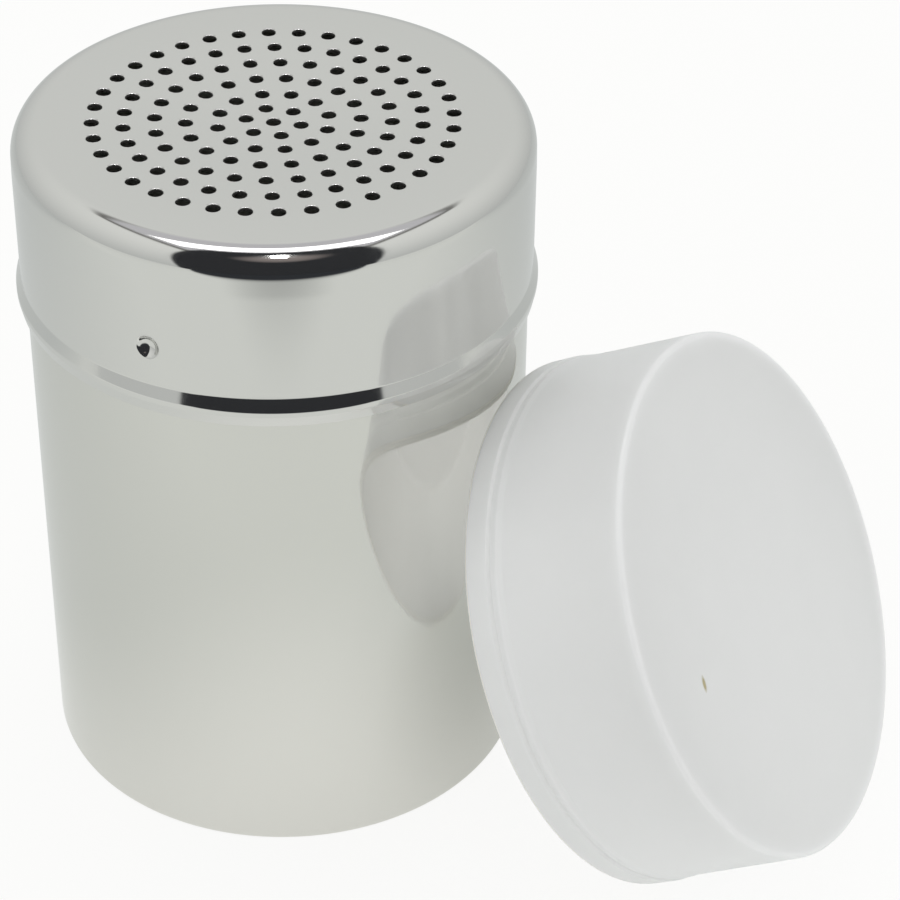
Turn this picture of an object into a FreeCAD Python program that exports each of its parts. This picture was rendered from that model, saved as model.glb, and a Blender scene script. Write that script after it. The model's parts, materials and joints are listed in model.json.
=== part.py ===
import FreeCAD, Part
import math
import os
import Sketcher

# Spice shaker in three pieces: a drawn steel can, a drawn and punched steel lid that turns and
# locks on it, and a moulded push-on cap that stands against the can, taken off.
# Millimetres, +Z up, with the origin in the middle of the can's base.

Vector = FreeCAD.Vector
doc = FreeCAD.newDocument("SpiceShaker")

# Driving dimensions, one spreadsheet row each
SIZES = [
    # the whole shaker
    ("overall_height", 98.4),
    ("fit_gap", 0.2),
    ("lean_gap", 0.2),
    ("cut_overrun", 1.0),
    # can
    ("can_radius", 34.4),
    ("can_sheet", 0.5),
    ("can_corner", 2.2),
    ("rim_drop", 3.1),
    # slots pressed into the can, one for each pip of the lid
    ("pip_count", 2),
    ("slot_width", 4.4),
    ("slot_depth", 1.4),
    ("slot_run", 12.0),
    # lid
    ("lid_sheet", 0.4),
    ("lid_height", 25.2),
    ("lid_shoulder", 3.5),
    ("panel_drop", 0.4),
    ("panel_flank_angle", 4.0),
    ("bead_rise", 0.65),
    ("bead_start", 21.2),
    ("bead_crest", 22.9),
    ("bead_crest_length", 0.7),
    ("bead_return", 0.35),
    ("bead_bend", 0.6),
    ("lid_turn_angle", -118.8),
    # pips pressed inward through the lid's wall
    ("pip_drop", 15.6),
    ("pip_mouth_radius", 1.6),
    ("pip_depth", 1.1),
    # holes punched in the lid's top: one in the middle, then rings of 6, 12, 18 and so on
    ("hole_diameter", 2.0),
    ("hole_step_count", 6),
    ("hole_ring_count", 6),
    ("close_ring_count", 2),
    ("close_ring_pitch", 3.75),
    ("wide_ring_pitch", 4.13),
    ("hole_turn_angle", -20.4),
    # cap
    ("cap_rim_radius", 36.9),
    ("cap_depth", 23.5),
    ("cap_wall", 0.9),
    ("cap_lip_height", 3.5),
    ("cap_lip_edge", 0.3),
    ("cap_step", 0.4),
    ("cap_ridge_height", 1.9),
    ("cap_ridge_rise", 0.22),
    ("cap_taper", 0.45),
    ("cap_corner", 2.0),
    # how the cap leans: which way it faces, how far back, and where its rim meets the can
    ("cap_facing_angle", -26.0),
    ("cap_tilt_angle", 29.1),
    ("cap_roll_angle", 3.5),
]

FULL_TURN = 360
QUARTER_TURN = 90
UPRIGHT = Vector(0, 0, 1)

sheet = doc.addObject("Spreadsheet::Sheet", "dims")
for row, (alias, number) in enumerate(SIZES, start=1):
    sheet.set(f"A{row}", alias)
    sheet.set(f"B{row}", str(number))
    sheet.setAlias(f"B{row}", alias)
doc.recompute()


def value(formula):
    """What a formula of the spreadsheet's sizes comes to, as a plain number."""
    number = sheet.evalExpression(formula)
    return float(getattr(number, "Value", number))


def bind(thing, prop, formula):
    """Tie one property of an object to a formula of the spreadsheet's sizes."""
    thing.setExpression(prop, formula)


def new_body(label):
    """An empty body with the name that its piece goes by."""
    body = doc.addObject("PartDesign::Body", label)
    body.Label = label
    return body


def origin_part(body, role):
    """One of the body's own planes or axes, found by its role."""
    return next(p for p in body.Origin.OriginFeatures if p.Role == role)


def new_sketch(body, name, role):
    """A sketch on one of the body's own planes."""
    sketch = body.newObject("Sketcher::SketchObject", name)
    sketch.AttachmentSupport = [(origin_part(body, role), "")]
    sketch.MapMode = "FlatFace"
    return sketch


def hold(sketch, kind, geometry, end, formula):
    """Hold one point of a line or arc at a distance from the sketch's origin."""
    rule = Sketcher.Constraint(kind, -1, 1, geometry, end, value(formula))
    index = sketch.addConstraint(rule)
    bind(sketch, f"Constraints[{index}]", formula)


def hold_point(sketch, geometry, end, across, up):
    """Hold one point of a line or arc both ways."""
    hold(sketch, "DistanceX", geometry, end, across)
    hold(sketch, "DistanceY", geometry, end, up)


def outline(sketch, corners):
    """Draw a closed outline and tie it to the spreadsheet.

    Each corner is (across, up, bend). bend is None for a straight edge to the next corner, or
    (centre across, centre up, "left" or "right") for an arc that turns that way on its path.
    """
    places = [Vector(value(c[0]), value(c[1]), 0) for c in corners]
    for index, (across, up, bend) in enumerate(corners):
        start = places[index]
        stop = places[(index + 1) % len(places)]
        if bend is None:
            edge = sketch.addGeometry(Part.LineSegment(start, stop), False)
            hold_point(sketch, edge, 1, across, up)
        else:
            centre = Vector(value(bend[0]), value(bend[1]), 0)
            turn_left = bend[2] == "left"
            first, last = (start, stop) if turn_left else (stop, start)
            angles = [math.atan2(p.y - centre.y, p.x - centre.x) for p in (first, last)]
            circle = Part.Circle(centre, UPRIGHT, (first - centre).Length)
            edge = sketch.addGeometry(Part.ArcOfCircle(circle, *angles), False)
            hold_point(sketch, edge, 1 if turn_left else 2, across, up)
            chord = stop - start
            if abs(chord.x) < abs(chord.y):
                hold(sketch, "DistanceX", edge, 3, bend[0])
            else:
                hold(sketch, "DistanceY", edge, 3, bend[1])
    for index, (_, _, bend) in enumerate(corners):
        following = (index + 1) % len(corners)
        after = corners[following][2]
        stop_end = 1 if bend is not None and bend[2] == "right" else 2
        start_end = 2 if after is not None and after[2] == "right" else 1
        sketch.addConstraint(
            Sketcher.Constraint("Coincident", index, stop_end, following, start_end)
        )


def revolve(body, sketch, name, kind="PartDesign::Revolution", axis="V_Axis"):
    """Turn a sketch once round one of its own axes, to add or to cut."""
    turned = body.newObject(kind, name)
    turned.Profile = sketch
    turned.ReferenceAxis = (sketch, [axis])
    turned.Angle = FULL_TURN
    sketch.Visibility = False
    return turned


def repeat_round(body, feature, name, count):
    """Repeat a feature round the body's own upright axis, count being a formula."""
    ring = body.newObject("PartDesign::PolarPattern", name)
    ring.Originals = [feature]
    ring.Axis = (origin_part(body, "Z_Axis"), [""])
    ring.Angle = FULL_TURN
    bind(ring, "Occurrences", count)
    body.Tip = ring


# Can: drawn in one from sheet, with a flat base, a straight wall and a plain cut rim
CAN = "dims.can_radius"
CAN_INSIDE = "(dims.can_radius - dims.can_sheet)"
CAN_BEND = "(dims.can_radius - dims.can_corner)"
RIM = "(dims.overall_height - dims.rim_drop)"

can_shell = new_body("can_shell")
can_sketch = new_sketch(can_shell, "can_section", "XZ_Plane")
outline(
    can_sketch,
    [
        ("0", "0", None),
        (CAN_BEND, "0", (CAN_BEND, "dims.can_corner", "left")),
        (CAN, "dims.can_corner", None),
        (CAN, RIM, None),
        (CAN_INSIDE, RIM, None),
        (CAN_INSIDE, "dims.can_corner", (CAN_BEND, "dims.can_corner", "right")),
        (CAN_BEND, "dims.can_sheet", None),
        ("0", "dims.can_sheet", None),
    ],
)
revolve(can_shell, can_sketch, "can_wall")

# Slots: an L pressed inward from the rim, down to the pips' height and then along the wall.
# The leg lets a pip in from above, and the run holds it once the lid is turned.
PIP_HEIGHT = "(dims.overall_height - dims.pip_drop)"
SLOT_FLOOR = "(dims.can_radius - dims.slot_depth)"
WALL_MIDDLE = "(dims.can_radius - dims.can_sheet / 2)"
OUTSIDE = "(dims.can_radius + dims.cut_overrun)"


def slot_tool(name, margin, inner, outer, top, turn):
    """The L of one slot, widened by a margin, between two radii: a leg, a run and their ends."""
    half = f"(dims.slot_width / 2 + {margin})"
    leg = doc.addObject("Part::Box", f"{name}_leg")
    bind(leg, "Length", OUTSIDE)
    bind(leg, "Width", f"2 * {half}")
    bind(leg, "Height", f"{top} - {PIP_HEIGHT}")
    bind(leg, "Placement.Base.y", f"-{half}")
    bind(leg, "Placement.Base.z", PIP_HEIGHT)
    run = doc.addObject("Part::Box", f"{name}_run")
    bind(run, "Length", OUTSIDE)
    bind(run, "Width", "dims.slot_run")
    bind(run, "Height", f"2 * {half}")
    bind(run, "Placement.Base.z", f"{PIP_HEIGHT} - {half}")
    ends = []
    for end, across in (("foot", "0"), ("tail", "dims.slot_run")):
        rounded = doc.addObject("Part::Cylinder", f"{name}_{end}")
        bind(rounded, "Radius", half)
        bind(rounded, "Height", OUTSIDE)
        rounded.Placement.Rotation = FreeCAD.Rotation(Vector(0, 1, 0), QUARTER_TURN)
        bind(rounded, "Placement.Base.y", across)
        bind(rounded, "Placement.Base.z", PIP_HEIGHT)
        ends.append(rounded)
    path = doc.addObject("Part::MultiFuse", f"{name}_path")
    path.Shapes = [leg, run, *ends]
    tubes = []
    for side, radius in (("outer", outer), ("inner", inner)):
        tube = doc.addObject("Part::Cylinder", f"{name}_{side}")
        bind(tube, "Radius", radius)
        bind(tube, "Height", "dims.overall_height")
        tubes.append(tube)
    band = doc.addObject("Part::Cut", f"{name}_band")
    band.Base, band.Tool = tubes
    tool = doc.addObject("Part::Common", name)
    tool.Base, tool.Tool = band, path
    tool.Placement.Rotation = FreeCAD.Rotation(UPRIGHT, turn)
    return tool


presses = []
grooves = []
pip_count = int(value("dims.pip_count"))
press_floor = f"{SLOT_FLOOR} - dims.can_sheet"
for number in range(pip_count):
    turn = number * FULL_TURN / pip_count
    presses.append(
        slot_tool(f"press_{number}", "dims.can_sheet", press_floor, WALL_MIDDLE, RIM, turn)
    )
    grooves.append(
        slot_tool(f"groove_{number}", "0", SLOT_FLOOR, OUTSIDE, "dims.overall_height", turn)
    )
pressed_can = doc.addObject("Part::MultiFuse", "pressed_can")
pressed_can.Shapes = [can_shell, *presses]
all_grooves = doc.addObject("Part::MultiFuse", "all_grooves")
all_grooves.Shapes = grooves
container = doc.addObject("Part::Cut", "container")
container.Label = "container"
container.Base = pressed_can
container.Tool = all_grooves
container.Placement.Rotation = FreeCAD.Rotation(UPRIGHT, value("dims.lid_turn_angle"))

# Lid: drawn from thinner sheet over the can, with its own origin in the middle of its top.
# Its punched panel is flat and sunk a little, with a shallow flank up to the rounded shoulder.
LID = "(dims.can_radius + dims.fit_gap + dims.lid_sheet)"
LID_INSIDE = "(dims.can_radius + dims.fit_gap)"
LID_FLAT = f"({LID} - dims.lid_shoulder)"
INNER_SHOULDER = "(dims.lid_shoulder - dims.lid_sheet)"
RISE = "dims.panel_flank_angle"
FLANK_TOP = f"({LID_FLAT} - dims.lid_shoulder * sin({RISE}))"
FLANK_TOP_DROP = f"(dims.lid_shoulder * (1 - cos({RISE})))"
FLANK_TOP_INSIDE = f"({LID_FLAT} - {INNER_SHOULDER} * sin({RISE}))"
FLANK_TOP_INSIDE_DROP = f"(dims.lid_shoulder - {INNER_SHOULDER} * cos({RISE}))"
PANEL = f"({FLANK_TOP} - (dims.panel_drop - {FLANK_TOP_DROP}) / tan({RISE}))"
CEILING_DROP = "(dims.panel_drop + dims.lid_sheet)"
PANEL_INSIDE = f"({FLANK_TOP_INSIDE} - ({CEILING_DROP} - {FLANK_TOP_INSIDE_DROP}) / tan({RISE}))"
CREST = f"({LID} + dims.bead_rise)"
CREST_INSIDE = f"({LID_INSIDE} + dims.bead_rise)"
CREST_END = "(dims.bead_crest + dims.bead_crest_length)"

lid = new_body("shaker_lid")
lid_sketch = new_sketch(lid, "lid_section", "XZ_Plane")
outline(
    lid_sketch,
    [
        ("0", "-dims.panel_drop", None),
        (PANEL, "-dims.panel_drop", None),
        (FLANK_TOP, f"-{FLANK_TOP_DROP}", (LID_FLAT, "-dims.lid_shoulder", "right")),
        (LID, "-dims.lid_shoulder", None),
        (LID, "-dims.bead_start", None),
        (CREST, "-dims.bead_crest", None),
        (CREST, f"-{CREST_END}", None),
        (f"{CREST} - dims.bead_return", "-dims.lid_height", None),
        (f"{CREST_INSIDE} - dims.bead_return", "-dims.lid_height", None),
        (CREST_INSIDE, f"-{CREST_END}", None),
        (CREST_INSIDE, "-dims.bead_crest", None),
        (LID_INSIDE, "-dims.bead_start", None),
        (LID_INSIDE, "-dims.lid_shoulder", (LID_FLAT, "-dims.lid_shoulder", "left")),
        (FLANK_TOP_INSIDE, f"-{FLANK_TOP_INSIDE_DROP}", None),
        (PANEL_INSIDE, f"-{CEILING_DROP}", None),
        ("0", f"-{CEILING_DROP}", None),
    ],
)
lid_wall = revolve(lid, lid_sketch, "lid_wall")
doc.recompute()

# The bead's bends are rounded inside and out, at the round edges of three heights
MATCH_SHARE = 0.01
match = MATCH_SHARE * value("dims.lid_sheet")
bead_heights = [-value(drop) for drop in ("dims.bead_start", "dims.bead_crest", CREST_END)]
bead_edges = []
for index, edge in enumerate(lid_wall.Shape.Edges, start=1):
    level = edge.BoundBox.Center.z
    if edge.BoundBox.ZLength < match and any(abs(level - z) < match for z in bead_heights):
        bead_edges.append(f"Edge{index}")
bead_bends = lid.newObject("PartDesign::Fillet", "bead_bends")
bead_bends.Base = (lid_wall, bead_edges)
bind(bead_bends, "Radius", "dims.bead_bend")

# Pips: ball-shaped dents, hollow outside and proud inside the lid
PIP_BALL = "((dims.pip_mouth_radius ^ 2 + dims.pip_depth ^ 2) / (2 * dims.pip_depth))"
PIP_CENTRE = f"({LID} - dims.pip_depth + {PIP_BALL})"
LID_MIDDLE = f"({LID} - dims.lid_sheet / 2)"


def pip_part(name, kind, ball, flat):
    """A ball cut off flat, turned about the pip's own level axis and repeated for each pip."""
    sketch = new_sketch(lid, f"{name}_section", "XZ_Plane")
    bind(sketch, ".AttachmentOffset.Base.y", "-dims.pip_drop")
    half = f"sqrt(({ball}) ^ 2 - ({PIP_CENTRE} - {flat}) ^ 2)"
    outline(
        sketch,
        [
            (f"{PIP_CENTRE} - {ball}", "0", None),
            (flat, "0", None),
            (flat, half, (PIP_CENTRE, "0", "left")),
        ],
    )
    part = revolve(lid, sketch, name, kind, "H_Axis")
    repeat_round(lid, part, f"{name}s", "dims.pip_count")


pip_part("pip_bump", "PartDesign::Revolution", f"({PIP_BALL} + dims.lid_sheet)", LID_MIDDLE)
pip_part("pip_dent", "PartDesign::Groove", PIP_BALL, PIP_CENTRE)


def punch(name, radius, count):
    """One ring of holes punched straight down through the top, at a radius from the middle."""
    sketch = new_sketch(lid, f"{name}_circle", "XY_Plane")
    across = f"({radius}) * cos(dims.hole_turn_angle)"
    up = f"({radius}) * sin(dims.hole_turn_angle)"
    centre = Vector(value(across), value(up), 0)
    circle = Part.Circle(centre, UPRIGHT, value("dims.hole_diameter / 2"))
    edge = sketch.addGeometry(circle, False)
    rule = Sketcher.Constraint("Diameter", edge, value("dims.hole_diameter"))
    index = sketch.addConstraint(rule)
    bind(sketch, f"Constraints[{index}]", "dims.hole_diameter")
    hold_point(sketch, edge, 3, across, up)
    hole = lid.newObject("PartDesign::Pocket", name)
    hole.Profile = sketch
    bind(hole, "Length", f"{CEILING_DROP} + dims.cut_overrun")
    sketch.Visibility = False
    if count:
        repeat_round(lid, hole, f"{name}s", count)


# Holes: the first rings stand closer than the others, and all share one start line
punch("middle_hole", "0", None)
for ring in range(1, int(value("dims.hole_ring_count")) + 1):
    close_steps = min(ring, int(value("dims.close_ring_count")))
    wide_steps = ring - close_steps
    ring_radius = f"{close_steps} * dims.close_ring_pitch + {wide_steps} * dims.wide_ring_pitch"
    punch(f"ring_{ring}_hole", ring_radius, f"{ring} * dims.hole_step_count")
bind(lid, "Placement.Base.z", "dims.overall_height")
lid.Placement.Rotation = FreeCAD.Rotation(UPRIGHT, value("dims.lid_turn_angle"))

# Cap: moulded in one, with a thicker lip, a sloped step and a low ridge near its mouth and a
# wall that narrows to a rounded corner. Its own origin is in the middle of its mouth.
STEP = "(dims.cap_rim_radius - dims.cap_step)"
LIP_TOP = "(dims.cap_lip_height + dims.cap_step)"
FACE_EDGE = f"({STEP} - dims.cap_taper)"
CORNER_HEIGHT = "(dims.cap_depth - dims.cap_corner)"
FACE_FLAT = f"({FACE_EDGE} - dims.cap_corner)"
CEILING = "(dims.cap_depth - dims.cap_wall)"

cap = new_body("plastic_cap")
cap_sketch = new_sketch(cap, "cap_section", "XZ_Plane")
outline(
    cap_sketch,
    [
        (f"{STEP} - dims.cap_wall", "0", None),
        ("dims.cap_rim_radius - dims.cap_lip_edge", "0", None),
        ("dims.cap_rim_radius", "dims.cap_lip_edge", None),
        ("dims.cap_rim_radius", "dims.cap_lip_height", None),
        (STEP, LIP_TOP, None),
        (f"{STEP} + dims.cap_ridge_rise", f"{LIP_TOP} + dims.cap_ridge_height / 2", None),
        (STEP, f"{LIP_TOP} + dims.cap_ridge_height", None),
        (FACE_EDGE, CORNER_HEIGHT, (FACE_FLAT, CORNER_HEIGHT, "left")),
        (FACE_FLAT, "dims.cap_depth", None),
        ("0", "dims.cap_depth", None),
        ("0", CEILING, None),
        (FACE_FLAT, CEILING, (FACE_FLAT, CORNER_HEIGHT, "right")),
        (f"{FACE_EDGE} - dims.cap_wall", CORNER_HEIGHT, None),
    ],
)
revolve(cap, cap_sketch, "cap_wall")

# The cap stands on its rim's lowest point and leans on the can at a point near its rim's top.
# In plan the tilted rim is an ellipse, whose normal at the contact points at the can's axis.
tilt = math.radians(value("dims.cap_tilt_angle"))
rim_turn = math.radians(QUARTER_TURN - value("dims.cap_roll_angle"))
rim_radius = value("dims.cap_rim_radius")
rim_edge = value("dims.cap_lip_edge")
short_axis = rim_radius * math.sin(tilt)
normal = Vector(math.sin(rim_turn) / short_axis, -math.cos(rim_turn) / rim_radius, 0)
normal.normalize()
rim_centre = normal * value("dims.can_radius + dims.lean_gap")
rim_centre += Vector(short_axis * math.sin(rim_turn), -rim_radius * math.cos(rim_turn), 0)
facing = value("dims.cap_facing_angle")
rim_centre = FreeCAD.Rotation(UPRIGHT, facing).multVec(rim_centre)
lip_drops = [
    rim_radius * math.cos(tilt) - rim_edge * math.sin(tilt),
    (rim_radius - rim_edge) * math.cos(tilt),
]
rim_centre.z = max(lip_drops)
lean = FreeCAD.Rotation(facing, QUARTER_TURN - value("dims.cap_tilt_angle"), 0)
cap.Placement = FreeCAD.Placement(rim_centre, lean)
doc.recompute()

# Every object has to have worked before anything is written
for thing in doc.Objects:
    if "Invalid" in thing.State or "Error" in thing.State:
        raise RuntimeError(f"{thing.Name} failed: {thing.State}")
pieces = (container, lid, cap)
for piece in pieces:
    if piece.Shape.isNull() or not piece.Shape.isValid():
        raise RuntimeError(f"{piece.Label} has no valid shape")
os.makedirs("parts", exist_ok=True)
for piece in pieces:
    print(piece.Label, len(piece.Shape.Solids), round(piece.Shape.Volume, 2))
    piece.Shape.exportStep(f"parts/{piece.Label}.step")
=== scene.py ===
import json
import math

import bmesh
import bpy
import numpy as np
from mathutils import Matrix, Vector


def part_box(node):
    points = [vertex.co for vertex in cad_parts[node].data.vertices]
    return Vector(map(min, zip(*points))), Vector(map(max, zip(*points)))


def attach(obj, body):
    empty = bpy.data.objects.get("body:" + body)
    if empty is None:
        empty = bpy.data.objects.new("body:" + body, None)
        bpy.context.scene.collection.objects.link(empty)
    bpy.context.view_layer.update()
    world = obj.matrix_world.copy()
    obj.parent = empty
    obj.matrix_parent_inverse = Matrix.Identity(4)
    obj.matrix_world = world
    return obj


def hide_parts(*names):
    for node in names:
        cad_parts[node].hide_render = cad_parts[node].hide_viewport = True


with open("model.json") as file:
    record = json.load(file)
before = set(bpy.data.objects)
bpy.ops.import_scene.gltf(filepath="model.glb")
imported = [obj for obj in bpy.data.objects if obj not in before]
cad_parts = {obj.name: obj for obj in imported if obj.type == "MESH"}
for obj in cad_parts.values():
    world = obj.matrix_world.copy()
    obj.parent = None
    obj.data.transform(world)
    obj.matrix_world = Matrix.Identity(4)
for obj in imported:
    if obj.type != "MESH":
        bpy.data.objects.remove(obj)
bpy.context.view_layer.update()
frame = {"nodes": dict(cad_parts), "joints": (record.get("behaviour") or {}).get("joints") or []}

# Camera: it stands about 44 cm from the shaker, a little left of its middle, and looks down at
# it by 36 degrees. Its place and turns were fitted to the lid's holes and the outlines.
MM = 0.001
CAMERA_PLACE = Vector((0.0, -337.43, 288.82)) * MM
CAMERA_YAW = math.radians(4.068)
CAMERA_PITCH = math.radians(35.998)
CAMERA_ROLL = math.radians(0.834)
SENSOR_WIDTH = 36.0
FOCAL_LENGTH = 116.0
NEAREST_SEEN = 20 * MM

lens = bpy.data.cameras.new("camera")
lens.sensor_width = SENSOR_WIDTH
lens.lens = FOCAL_LENGTH
lens.clip_start = NEAREST_SEEN
camera = bpy.data.objects.new("camera", lens)
bpy.context.scene.collection.objects.link(camera)
camera.matrix_world = (
    Matrix.Translation(CAMERA_PLACE)
    @ Matrix.Rotation(-CAMERA_YAW, 4, "Z")
    @ Matrix.Rotation(math.pi / 2 - CAMERA_PITCH, 4, "X")
    @ Matrix.Rotation(CAMERA_ROLL, 4, "Z")
)
bpy.context.scene.camera = camera
bpy.context.scene.view_settings.view_transform = "Standard"

# Container: a can of 0.5 mm stainless sheet, drawn in one with a flat base, polished, and cut
# off plain at its rim. Two L-shaped slots are pressed into its wall for the pips of the lid.
CAN_RADIUS = 34.4 * MM
CAN_SHEET = 0.5 * MM
CAN_CORNER = 1.0 * MM
CUT_EDGE = 0.12 * MM
RIM_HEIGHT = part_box("container")[1].z
PIP_TURNS = (241.2, 61.2)
PIP_HEIGHT = 82.8 * MM
SLOT_HALF_WIDTH = 2.2 * MM
SLOT_DEPTH = 1.4 * MM
SLOT_RUN = 12.0 * MM
SLOT_EASE = 0.8 * MM
SLOT_BELOW = 3.8 * MM
SLOT_BEHIND, SLOT_AHEAD = 6, 27
CAN_STEP, CAN_FINE_STEP = 2.0, 0.4
CAN_ROUND_STEPS, CAN_INNER_ROUND_STEPS = 12, 8
SLOT_ROWS = 60
MERGE_REACH = 0.001 * MM
SHARP_TURN = math.radians(50)


def rounded_outline(corners):
    """A section's outline, as an array of (radius, height) points.

    Each corner is (radius, height, bend, steps, divisions). A bend is the arc of that radius
    that touches both runs: it starts bend * tan(half the turn) before its corner, and its
    points turn evenly about its centre. A point one step outside each end of the arc keeps the
    shading of the straight runs straight. The run after a corner has that many divisions.
    """
    places = [np.array(corner[:2], float) for corner in corners]
    bends = []
    for index, (_, _, bend, steps, _) in enumerate(corners):
        place = places[index]
        if not bend:
            bends.append(place[None])
            continue
        before = place - places[index - 1]
        after = places[index + 1] - place
        before = before / np.linalg.norm(before)
        after = after / np.linalg.norm(after)
        turn = math.atan2(before[0] * after[1] - before[1] * after[0], before @ after)
        reach = bend * math.tan(abs(turn) / 2)
        side = np.array([-before[1], before[0]]) * math.copysign(bend, turn)
        start = place - before * reach
        angles = np.linspace(0, turn, steps + 1)[:, None]
        arc = start + side - side * np.cos(angles) + before * bend * np.sin(np.abs(angles))
        hold = bend * abs(turn) / steps
        ends = start - before * hold, place + after * (reach + hold)
        bends.append(np.concatenate([ends[0][None], arc, ends[1][None]]))
    outline = [bends[0]]
    for corner, last, following in zip(corners, bends, bends[1:]):
        run = np.linspace(last[-1], following[0], corner[4] + 1)
        outline += [run[1:-1], following]
    return np.concatenate(outline)


def turns_round(step, fine_step, fine_ranges):
    """The angles of one turn, in degrees: one each step, and one each fine step in ranges."""
    fine = [np.arange(low, high, fine_step) for low, high in fine_ranges]
    return np.unique(np.round(np.concatenate([np.arange(0, 360, step), *fine]) % 360, 3))


def carried_round(section, turns, dent=0):
    """A section carried round the upright axis: rows are its points and columns are turns.

    A point's radius is the section's, less a dent that may differ at each turn.
    """
    radius = section[:, :1] - dent
    angles = np.radians(turns)[None]
    height = section[:, 1:] + 0 * angles
    return np.stack([radius * np.cos(angles), radius * np.sin(angles), height], axis=-1)


def sheet_piece(name, grids):
    """One closed mesh from grids of points, arrays of (rows, columns, place).

    Quads join neighbouring points, and each grid's last column joins its first. Points that
    fall together, at a pole or where grids meet, are merged, and all faces point outwards.
    """
    points, quads, total = [], [], 0
    for grid in grids:
        index = np.arange(total, total + grid.shape[0] * grid.shape[1]).reshape(grid.shape[:2])
        beside = np.roll(index, -1, axis=1)
        quads.append(np.stack([index[:-1], beside[:-1], beside[1:], index[1:]], axis=-1))
        points.append(grid.reshape(-1, 3))
        total += index.size
    mesh = bpy.data.meshes.new(name)
    faces = np.concatenate([quad.reshape(-1, 4) for quad in quads])
    mesh.from_pydata(np.concatenate(points).tolist(), [], faces.tolist())
    shape = bmesh.new()
    shape.from_mesh(mesh)
    bmesh.ops.remove_doubles(shape, verts=shape.verts, dist=MERGE_REACH)
    bmesh.ops.recalc_face_normals(shape, faces=shape.faces)
    shape.to_mesh(mesh)
    shape.free()
    mesh.shade_smooth()
    mesh.set_sharp_from_angle(angle=SHARP_TURN)
    piece = bpy.data.objects.new(name, mesh)
    bpy.context.scene.collection.objects.link(piece)
    return piece


def slot_dent(section, turns):
    """How deep the slots are at each point of the section and each turn.

    On the unrolled wall a slot's middle line is a leg, from the pips' height up past the rim,
    and a run to one side at that height. The dent is full near the line and eases to nothing
    at the slot's edge, one sheet further out on the inside of the wall.
    """
    dent = np.zeros((len(section), len(turns)))
    above = section[:, 1:] - PIP_HEIGHT
    inside = section[:, :1] < CAN_RADIUS - CAN_SHEET / 2
    reach = SLOT_HALF_WIDTH + np.where(inside, CAN_SHEET, 0) + SLOT_EASE / 4
    for start in PIP_TURNS:
        across = CAN_RADIUS * np.radians((turns - start + 180) % 360 - 180)[None]
        leg = np.hypot(across, np.minimum(above, 0))
        run = np.hypot(across - np.clip(across, 0, SLOT_RUN), above)
        share = np.clip((reach - np.minimum(leg, run)) / SLOT_EASE, 0, 1)
        dent = np.maximum(dent, SLOT_DEPTH * share**2 * (3 - 2 * share))
    return dent


can_inside = CAN_RADIUS - CAN_SHEET
slot_foot = PIP_HEIGHT - SLOT_BELOW
can_section = rounded_outline([
    (0, 0, 0, 0, 3),
    (CAN_RADIUS, 0, CAN_CORNER, CAN_ROUND_STEPS, 5),
    (CAN_RADIUS, slot_foot, 0, 0, SLOT_ROWS),
    (CAN_RADIUS, RIM_HEIGHT, CUT_EDGE, 4, 1),
    (can_inside, RIM_HEIGHT, CUT_EDGE, 4, SLOT_ROWS),
    (can_inside, slot_foot, 0, 0, 5),
    (can_inside, CAN_SHEET, CAN_CORNER - CAN_SHEET, CAN_INNER_ROUND_STEPS, 3),
    (0, CAN_SHEET, 0, 0, 0),
])
slot_ranges = [(turn - SLOT_BEHIND, turn + SLOT_AHEAD) for turn in np.round(PIP_TURNS)]
can_turns = turns_round(CAN_STEP, CAN_FINE_STEP, slot_ranges)
can_grid = carried_round(can_section, can_turns, slot_dent(can_section, can_turns))
can = sheet_piece("drawn_can", [can_grid])


def linear(colour):
    """An sRGB hex colour such as 8a8f90, as linear red, green and blue with full opacity."""
    shares = np.array([int(colour[i : i + 2], 16) for i in (0, 2, 4)]) / 255
    low = shares / 12.92
    high = ((shares + 0.055) / 1.055) ** 2.4
    return (*np.where(shares <= 0.04045, low, high).tolist(), 1.0)


def add_node(tree, kind, settings=None, links=None):
    """Add a shader node, give its inputs or properties their values and link its inputs."""
    node = tree.nodes.new("ShaderNode" + kind)
    for name, setting in (settings or {}).items():
        if isinstance(name, int) or name in node.inputs:
            node.inputs[name].default_value = setting
        else:
            setattr(node, name, setting)
    for name, source in (links or {}).items():
        tree.links.new(source, node.inputs[name])
    return node


def new_material(name):
    """An empty node material and its tree."""
    material = bpy.data.materials.new(name)
    material.use_nodes = True
    material.node_tree.nodes.clear()
    return material, material.node_tree


# Polished 304 stainless steel: it mirrors nearly all light, a little warm. The drawing leaves
# faint upright lines, and polishing leaves soft, uneven gloss and a barely wavy surface. The
# finishes are the least and the most roughness, and how metallic the surface is.
LINE_SPACING = 0.7 * MM
LINE_HEIGHT = 0.0004 * MM
LINE_STRETCH = 0.04
PATCH_SIZE = 9 * MM
GLOSS_LOW, GLOSS_HIGH = 0.1, 0.45
WAVE_LENGTH = 14 * MM
WAVE_HEIGHT = 0.004 * MM
POLISHED = 0.05, 0.1, 1.0
AS_DRAWN = 0.32, 0.45, 0.7
CAN_COLOUR = "d6d6d1"


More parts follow.
